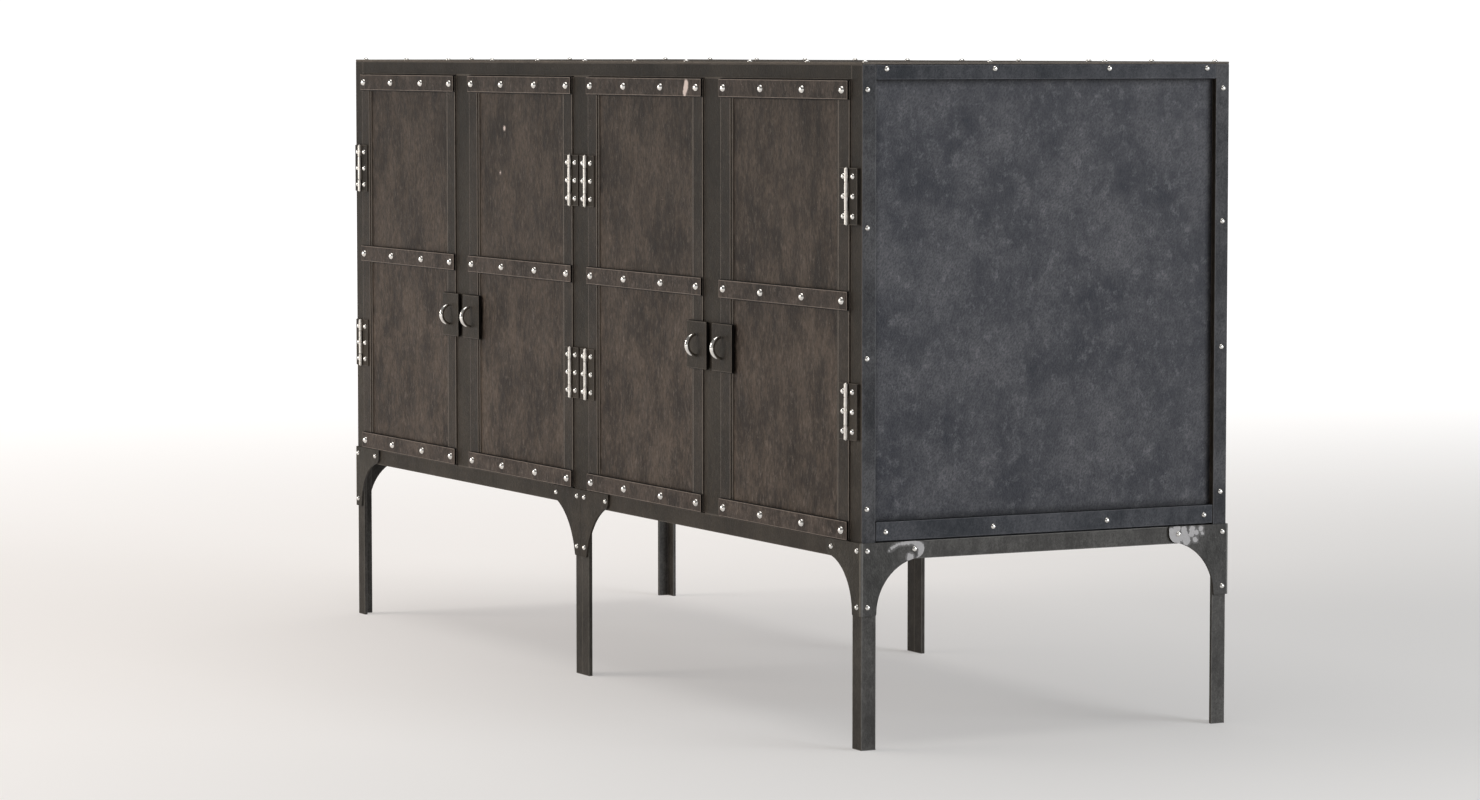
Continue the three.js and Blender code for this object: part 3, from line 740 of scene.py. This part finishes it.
for side, sx in SIGNS.items():
    node = f"side_panel_{side}"
    inner, outer = sx * (RIGHT - RECESS), sx * RIGHT
    x0, x1 = sorted((inner, outer))
    s0, s1 = sorted((sx * INNER_X, inner - sx * FIELD_THICK))
    sheet = bar((s0, FRONT_Y + RECESS, BASE_LOW), (s1, BACK_Y - RECESS, SHEET_Z))
    make(f"end_sheet_{side}", sheet, "carcass", SHEET_STEEL, [node])
    f0, f1 = sorted((inner, inner - sx * FIELD_THICK))
    field = bar((f0, y0 - LIP, STRAP_TOP - LIP), (f1, y1 + LIP, OPENING_TOP + LIP), rounding=0.1 * MM,
                band=PAINTED_SHADE_BAND)
    # Painted shade: the field's border is marked near black, fading inwards.
    scale, wear = layer(field, "scale"), layer(field, "wear")
    for vert in field.verts:
        vert[scale] = vert[wear] * 0.75
    make(f"end_field_{side}", field, "carcass", SHEET_STEEL, [node])
    out = Vector((sx, 0, 0))
    # The end rails and strap are painted near black on their sides behind the outer face, a painted shade.
    make(f"end_top_rail_{side}", bar((x0, y0, OPENING_TOP), (x1, y1, SHEET_Z - RAIL_GAP), front=out),
         "carcass", END_LIT_STEEL, [node])
    make(f"end_base_rail_{side}", bar((x0, y0, BASE_LOW), (x1, y1, BASE_TOP), front=out),
         "carcass", LEG_SIDE_LIT_STEEL, [node])
    strap = bar((x0, y0 + 1 * MM, STRAP_LOW), (x1, y1 - 1 * MM, STRAP_TOP), front=out)
    make(f"end_strap_{side}", strap, "carcass", END_LIT_STEEL, [f"side_strap_{side}"])
    for part, z in (("rail", RAIL_RIVET_Z), ("strap", STRAP_RIVET_Z)):
        points = [(outer, from_front(y), z) for y in SIDE_RIVETS]
        rivet_row(f"end_{part}_rivets_{side}", SMALL_HEAD, side, points)

# %% [markdown]
# The back is a recessed sheet framed like the ends, with a strip down its middle to stiffen it. A buffet
# stands against a wall, so the rivets here are set a little wider apart than on the ends.

# %% Back
BACK_RIVETS = 8
BACK_RIVET_END = 110 * MM
BACK_RIVETS_Z = {"top": 902 * MM, "base": 265.5 * MM}
BACK_STRIP_HALF = 26 * MM
sheet = bar((-INNER_X, INNER_Y, BASE_LOW), (INNER_X, BACK_Y - RECESS, SHEET_Z))
make("back_sheet", sheet, "carcass", SHEET_STEEL, ["back_panel"])
for name, x, z0, z1 in (("top_rail", RAIL_END, OPENING_TOP, SHEET_Z - RAIL_GAP),
                        ("base_rail", RAIL_END, BASE_LOW, BASE_TOP),
                        ("middle_strip", BACK_STRIP_HALF, BASE_TOP, OPENING_TOP)):
    strip = bar((-x, BACK_Y - RECESS, z0), (x, BACK_Y, z1))
    make(f"back_{name}", strip, "carcass", END_LIT_STEEL, ["back_panel"])
step = 2 * (RAIL_END - BACK_RIVET_END) / (BACK_RIVETS - 1)
across = [-RAIL_END + BACK_RIVET_END + i * step for i in range(BACK_RIVETS)]
for name, z in BACK_RIVETS_Z.items():
    rivet_row(f"back_{name}_rivets", SMALL_HEAD, "back", [(x, BACK_Y, z) for x in across])
rivet_row("back_strip_rivets", SMALL_HEAD, "back", [(0, BACK_Y, z) for z in POST_RIVETS_Z])

# %% [markdown]
# ## The top
# The top is one thin sheet, riveted down all round.

# %% Top
TOP_RIVETS = [13, 180, 347, 514, 681, 848, 1015, 1182, 1378, 1546, 1708]
TOP_END_RIVETS = [202, 382]
EDGE = 13
make("top_sheet", bar((-RIGHT, FRONT_Y, SHEET_Z), (RIGHT, BACK_Y, TOP_Z), rounding=0.7 * MM),
     "carcass", TOP_STEEL, ["top"])
for end, y in (("front", from_front(EDGE)), ("rear", BACK_Y - EDGE * MM)):
    points = [(from_left(x), y, TOP_Z) for x in TOP_RIVETS]
    rivet_row(f"top_{end}_rivets", SMALL_HEAD, "up", points)
for side, sx in SIGNS.items():
    points = [(sx * (RIGHT - EDGE * MM), from_front(y), TOP_Z) for y in TOP_END_RIVETS]
    rivet_row(f"top_end_rivets_{side}", SMALL_HEAD, "up", points)

# %% [markdown]
# ## Doors
# A door is a board core clad in sheet, with a flat stile down each edge. The sheet between the stiles
# lies a little deeper, and a narrow bead runs beside each stile, which shows as a double line. Three
# straps run over it from edge to edge, and four big rivets hold each.

# %% Door parts
STILE = 30 * MM
FIELD_DEPTH = 3 * MM
GROOVE = 1.8 * MM
BEAD = 3.2 * MM
STRAP_RIVETS = [-172.5, -60.25, 60.25, 172.5]
FRONT = Vector((0, -1, 0))


def door_skin(name, low, high):
    """The core with its sheet, the stiles and the bead along each stile."""
    body = name
    field_y = low.y + FIELD_DEPTH
    core = bar((low.x, field_y, low.z), (high.x, high.y, high.z))
    make(f"{name}_core", core, body, DOOR_STEEL, [f"{name}_leaf"])
    for side, x0, x1 in (("left", low.x, low.x + STILE), ("right", high.x - STILE, high.x)):
        stile = bar((x0, low.y, low.z), (x1, field_y, high.z))
        make(f"{name}_stile_{side}", stile, body, STILE_STEEL, [f"{name}_leaf"])
    for side, x0 in (("left", low.x + STILE + GROOVE), ("right", high.x - STILE - GROOVE - BEAD)):
        bead = bar((x0, field_y - 2 * MM, low.z), (x0 + BEAD, field_y, high.z), band=0.8 * MM)
        make(f"{name}_bead_{side}", bead, body, STILE_STEEL, [f"{name}_leaf"])


SHADOW_FILM_OVERLAP = 1.1 * MM
SHADOW_FILM_THICK = 0.4 * MM


def shadow_film(name, body, back_y, x_range, z_range):
    """A near black film that shows as a dark line just above and below a strap or plate, a painted shadow."""
    film = bar((x_range[0], back_y - SHADOW_FILM_THICK, z_range[0] - SHADOW_FILM_OVERLAP),
               (x_range[1], back_y, z_range[1] + SHADOW_FILM_OVERLAP), rounding=0.1 * MM, band=0.3 * MM)
    scale = layer(film, "scale")
    for vert in film.verts:
        vert[scale] = 1.0
    make(name, film, body, FRAME_STEEL)


def door_straps(name, low, high):
    for place in ("top", "middle", "bottom"):
        node = f"{name}_strap_{place}"
        strap_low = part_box(node)[0]
        y = low.y - STRAP_THICK
        # The strap's sides behind its front are painted near black, a painted shade.
        plate = bar((low.x, y, strap_low.z), (high.x, low.y, strap_low.z + STRAP_HIGH),
                    rounding=0.5 * MM, band=1.6 * MM, front=FRONT)
        make(f"{node}_plate", plate, name, STRAP_STEEL, [node])
        # A painted shadow: a near black film just above and below the strap.
        shadow_film(f"{node}_bed", name, low.y, (low.x, high.x), (strap_low.z, strap_low.z + STRAP_HIGH))
        centre = (low.x + high.x) / 2
        z = strap_low.z + STRAP_HIGH / 2
        points = [(centre + x * MM, y, z) for x in STRAP_RIVETS]
        rivet_row(f"{node}_rivets", BIG_HEAD, "front", points, body=name)


# %% [markdown]
# ## Pulls
# The half ring stands on edge on a square plate. It is thickest in the middle of its sweep. A circle is
# spun through half a turn, and each ring of corners is drawn in towards the ends.

# %% Pulls
PULL_THICK = 4 * MM
BOW_RADIUS = 15 * MM
BOW_BAR = 3.6 * MM
BOW_STEPS = 28


def bow(centre):
    bm = bmesh.new()
    sink = 8
    bmesh.ops.create_circle(bm, segments=12, radius=BOW_BAR, cap_ends=True)
    bmesh.ops.translate(bm, vec=(BOW_RADIUS, 0, 0), verts=bm.verts)
    bmesh.ops.rotate(bm, cent=(0, 0, 0), matrix=Matrix.Rotation(math.radians(-sink), 3, "Y"), verts=bm.verts)
    bmesh.ops.spin(bm, geom=bm.faces[:], cent=(0, 0, 0), axis=(0, -1, 0),
                   angle=math.radians(180 + 2 * sink), steps=BOW_STEPS, use_merge=False)
    for vert in bm.verts:
        angle = math.atan2(vert.co.z, vert.co.x)
        middle = Vector((math.cos(angle), 0, math.sin(angle))) * BOW_RADIUS
        swell = 0.5 + 0.5 * max(0.0, math.sin(angle)) ** 0.8
        vert.co = middle + (vert.co - middle) * swell
    bmesh.ops.remove_doubles(bm, verts=bm.verts, dist=0.001 * MM)
    bmesh.ops.recalc_face_normals(bm, faces=bm.faces)
    # The half ring was drawn over the XZ plane's upper half; it is laid so that it sweeps to the front.
    turn = Matrix(((0, 1, 0, 0), (0, 0, -1, 0), (1, 0, 0, 0), (0, 0, 0, 1)))
    bmesh.ops.transform(bm, matrix=Matrix.Translation(centre) @ turn, verts=bm.verts)
    bmesh.ops.recalc_face_normals(bm, faces=bm.faces)
    return bm


def door_pull(name, door_low):
    node = f"{name}_pull"
    low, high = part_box(node)
    front = door_low.y - PULL_THICK
    # The plate's sides behind its front are painted near black, a painted shade.
    plate = bar((low.x, front, low.z), (high.x, door_low.y, high.z),
                rounding=0.6 * MM, band=1.6 * MM, front=FRONT)
    make(f"{node}_plate", plate, name, FRAME_STEEL, [node])
    leaf_low, leaf_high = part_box(f"{name}_leaf")
    on_door = (max(low.x, leaf_low.x), min(high.x, leaf_high.x))
    # A painted shadow: a near black film just above and below the plate, where it lies on the door.
    shadow_film(f"{node}_bed", name, door_low.y, on_door, (low.z, high.z))
    centre = Vector(((low.x + high.x) / 2, front, (low.z + high.z) / 2))
    make(f"{node}_half_ring", bow(centre), name, RIVET_STEEL, [node], smooth=True)


# %% [markdown]
# ## Hinges
# A hinge is two leaves on one pin. Its knuckles belong to the leaves by turns, so each is its own short
# bored tube with chamfered ends, riding with its leaf. The pin runs through all four with a little room
# to turn, its round ends stand out above and below, and it rides on the post.

# %% Hinges
KNUCKLES = 4
KNUCKLE_RADIUS = 3 * MM
LEAF_START = 3.5 * MM
LEAF_END = 24 * MM
LEAF_RIVET_OUT = 13.2 * MM
LEAF_RIVETS = [-26.5, 0, 26.5]
LEAF_THICK = 2.25 * MM
WRAP_START = 1.5 * MM
WRAP_OVERLAP = 1 * MM
WRAP_PROUD = 1.2 * MM
WRAP_SHORT = 0.3 * MM
AXIS_AHEAD = 7 * MM
KNUCKLE_GAP = 0.3 * MM
KNUCKLE_BORE = 1.45 * MM
PIN_RADIUS = 1.3 * MM
PIN_END = 0.9 * MM
TURNING_STEPS = 20


def turned(centre, outline, closed):
    """An outline of (radius, height) points spun round the upright line through centre."""
    bm = bmesh.new()
    verts = [bm.verts.new((radius, 0, height)) for radius, height in outline]
    ends = verts[1:] + verts[:1] if closed else verts[1:]
    edges = [bm.edges.new(pair) for pair in zip(verts, ends)]
    bmesh.ops.spin(bm, geom=verts + edges, cent=(0, 0, 0), axis=(0, 0, 1),
                   angle=math.tau, steps=TURNING_STEPS, use_merge=True)
    bmesh.ops.remove_doubles(bm, verts=bm.verts, dist=0.01 * MM)
    bmesh.ops.recalc_face_normals(bm, faces=bm.faces)
    bmesh.ops.translate(bm, vec=(centre[0], centre[1], 0), verts=bm.verts)
    return bm


def knuckle_ring(centre, low, high, chamfer=0.5 * MM):
    waist = KNUCKLE_RADIUS - chamfer
    outline = [(KNUCKLE_BORE, low), (waist, low), (KNUCKLE_RADIUS, low + chamfer),
               (KNUCKLE_RADIUS, high - chamfer), (waist, high), (KNUCKLE_BORE, high)]
    return turned(centre, outline, closed=True)


def hinge_pin(centre, low, high):
    """Half an outline from each end: the tip on the axis, a round shoulder, then the straight shank."""
    shoulder = [(0, PIN_END), (0.6 * PIN_RADIUS, 0.8 * PIN_END), (0.9 * PIN_RADIUS, 0.4 * PIN_END),
                (PIN_RADIUS, 0)]
    below = [(radius, low - out) for radius, out in shoulder]
    above = [(radius, high + out) for radius, out in reversed(shoulder)]
    return turned(centre, below + above, closed=False)


def hinge_half(name, node, body, axis_x, side, back_y, front_y, low_z, high_z, first):
    """One leaf with its knuckles and rivets. side is where it lies from the axis."""
    x0, x1 = sorted((axis_x + side * LEAF_START, axis_x + side * LEAF_END))
    leaf = bar((x0, front_y, low_z), (x1, back_y, high_z), rounding=0.4 * MM, band=1.4 * MM)
    make(f"{name}_leaf", leaf, body, FRAME_STEEL, [node])
    pitch = (high_z - low_z) / KNUCKLES
    axis_y = FRONT_Y - AXIS_AHEAD
    for i in range(first, KNUCKLES, 2):
        z0, z1 = low_z + i * pitch + KNUCKLE_GAP / 2, low_z + (i + 1) * pitch - KNUCKLE_GAP / 2
        knuckle = knuckle_ring((axis_x, axis_y), z0, z1)
        make(f"{name}_knuckle_{i + 1}", knuckle, body, KNUCKLE_STEEL, [node])
        a0, a1 = sorted((axis_x + side * WRAP_START, axis_x + side * (LEAF_START + WRAP_OVERLAP)))
        wrap = bar((a0, front_y - WRAP_PROUD, z0), (a1, front_y + LEAF_THICK - WRAP_SHORT, z1),
                   band=0.8 * MM)
        make(f"{name}_wrap_{i + 1}", wrap, body, FRAME_STEEL)
    x = axis_x + side * LEAF_RIVET_OUT
    middle = (low_z + high_z) / 2
    points = [(x, front_y, middle + dz * MM) for dz in LEAF_RIVETS]
    rivet_row(f"{name}_rivets", HINGE_HEAD, "front", points, body=body)


def door_hinge(i, place, door_low, hinge_side):
    door_node = f"door_{i}_hinge_{place}"
    post_node = f"post_hinge_{place}_{i}"
    low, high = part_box(door_node)
    joint = next(j for j in frame["joints"] if j["name"] == f"door_{i}_hinge")
    axis_x = joint["pos_m"][0]
    front = door_low.y - LEAF_THICK
    hinge_half(door_node, door_node, f"door_{i}", axis_x, -hinge_side, door_low.y, front, low.z, high.z, 1)
    hinge_half(post_node, post_node, "carcass", axis_x, hinge_side, FRONT_Y, front, low.z, high.z, 0)
    pin = hinge_pin((axis_x, FRONT_Y - AXIS_AHEAD), low.z, high.z)
    make(f"{post_node}_pin", pin, "carcass", KNUCKLE_STEEL, [post_node])


# %% [markdown]
# The doors go in pairs, the left one of each hinged on its left and the right one on its right, so the
# two inner doors share the middle upright.

# %% The four doors
for i in range(1, 5):
    name = f"door_{i}"
    low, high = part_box(f"{name}_leaf")
    hinge_side = -1 if i % 2 else 1
    door_skin(name, low, high)
    door_straps(name, low, high)
    door_pull(name, low)
    for place in ("upper", "lower"):
        door_hinge(i, place, low, hinge_side)

# %% [markdown]
# ## Floor, light and camera
# The setting is a pale studio. The floor turns to white further off, and a white surround closes the
# view behind it; the surround is only looked at and lights nothing. Near the cabinet the floor glows a
# little, a painted light that lifts the shadows under it, and towards the right end and the back its
# colour and glow are painted darker, a painted shadow. A broad warm light stands to the left of the
# front, a cool one to the right behind the end, and a soft one overhead. The rest of the room is grey,
# so that bright steel has something dark to reflect between the lights.


# %% Floor and surround
def stage_piece(name, bm, material):
    mesh = bpy.data.meshes.new(name)
    bm.to_mesh(mesh)
    bm.free()
    mesh.materials.append(material)
    piece = bpy.data.objects.new(name, mesh)
    bpy.context.scene.collection.objects.link(piece)
    return piece


grid = bmesh.new()
bmesh.ops.create_grid(grid, x_segments=8, y_segments=8, size=60)
paint = Finish("studio_floor")
away = paint.node("ShaderNodeVectorMath", {"operation": "LENGTH"}, {0: paint.place}, output="Value")
far = paint.step(away, 0.6, 8.4)
# Painted light and shade on the floor: near the cabinet it glows, which lifts the shadows under it, and
# towards the right end and the back its colour and glow are painted darker.
PAINTED_SHADE_SIDE = (0.75, 0.66, 0)
beside = paint.node("ShaderNodeVectorMath", {"operation": "DOT_PRODUCT"},
                    {0: paint.place, 1: PAINTED_SHADE_SIDE}, output="Value")
painted_floor_shade = paint.step(beside, -1.1, 1.0)
painted_floor_light = paint.mix(painted_floor_shade, (0.42, 0.40, 0.39, 1), (0.30, 0.296, 0.294, 1))
painted_shade_tone = paint.mix(painted_floor_shade, (0.49, 0.476, 0.462, 1), (0.38, 0.375, 0.37, 1))
glow = paint.mix(far, painted_floor_light, (1.02, 1.02, 1.02, 1))
paint.shader.inputs["Emission Strength"].default_value = 1.0
paint.shader.inputs["Specular IOR Level"].default_value = 0.1
paint.shader.inputs["Roughness"].default_value = 0.8
stage_piece("studio_floor", grid, paint.surface(Base_Color=painted_shade_tone, Emission_Color=glow))

dome = bmesh.new()
bmesh.ops.create_uvsphere(dome, u_segments=48, v_segments=24, radius=50)
bmesh.ops.reverse_faces(dome, faces=dome.faces)
white = Finish("white_surround")
white.shader.inputs["Base Color"].default_value = (0, 0, 0, 1)
white.shader.inputs["Emission Color"].default_value = (1, 1, 1, 1)
white.shader.inputs["Emission Strength"].default_value = 1.05
surround = stage_piece("white_surround", dome, white.material)
surround.visible_diffuse = False
surround.visible_glossy = False
surround.visible_shadow = False


# %% Lights
def area_light(name, place, target, size, power, tint):
    light = bpy.data.lights.new(name, "AREA")
    light.shape = "RECTANGLE"
    light.size, light.size_y = size
    light.energy = power
    light.color = tint
    lamp = bpy.data.objects.new(name, light)
    bpy.context.scene.collection.objects.link(lamp)
    lamp.location = place
    lamp.visible_camera = False
    aim = Vector(target) - Vector(place)
    lamp.rotation_euler = aim.to_track_quat("-Z", "Y").to_euler()


area_light("key", (-3.0, -6.4, 2.6), (0, 0, 0.4), (4.5, 3.2), 300, (1.0, 0.94, 0.87))
area_light("fill", (6.0, 3.6, 2.0), (0.8, 0, 0.5), (4.0, 3.6), 360, (0.89, 0.945, 1.0))
area_light("overhead", (0, 0, 5.5), (0, 0, 0), (5.0, 5.0), 150, (1.0, 0.98, 0.95))

world = bpy.data.worlds.new("grey_room")
bpy.context.scene.world = world
world.use_nodes = True
world.node_tree.nodes["Background"].inputs["Color"].default_value = (1.0, 0.98, 0.96, 1)
world.node_tree.nodes["Background"].inputs["Strength"].default_value = 0.25
bpy.context.scene.view_settings.view_transform = "Standard"

# %% Camera
CAMERA_PLACE = Vector((6.2762, -3.2586, 0.931))
CAMERA_TURN = 62.66
CAMERA_DOWN = 4.283
CAMERA_LENS = 113.97
camera = bpy.data.cameras.new("camera")
camera.sensor_width = 36
camera.lens = CAMERA_LENS
camera.clip_end = 200
eye = bpy.data.objects.new("camera", camera)
bpy.context.scene.collection.objects.link(eye)
eye.location = CAMERA_PLACE
eye.rotation_euler = (math.radians(90 - CAMERA_DOWN), 0, math.radians(CAMERA_TURN))
bpy.context.scene.camera = eye
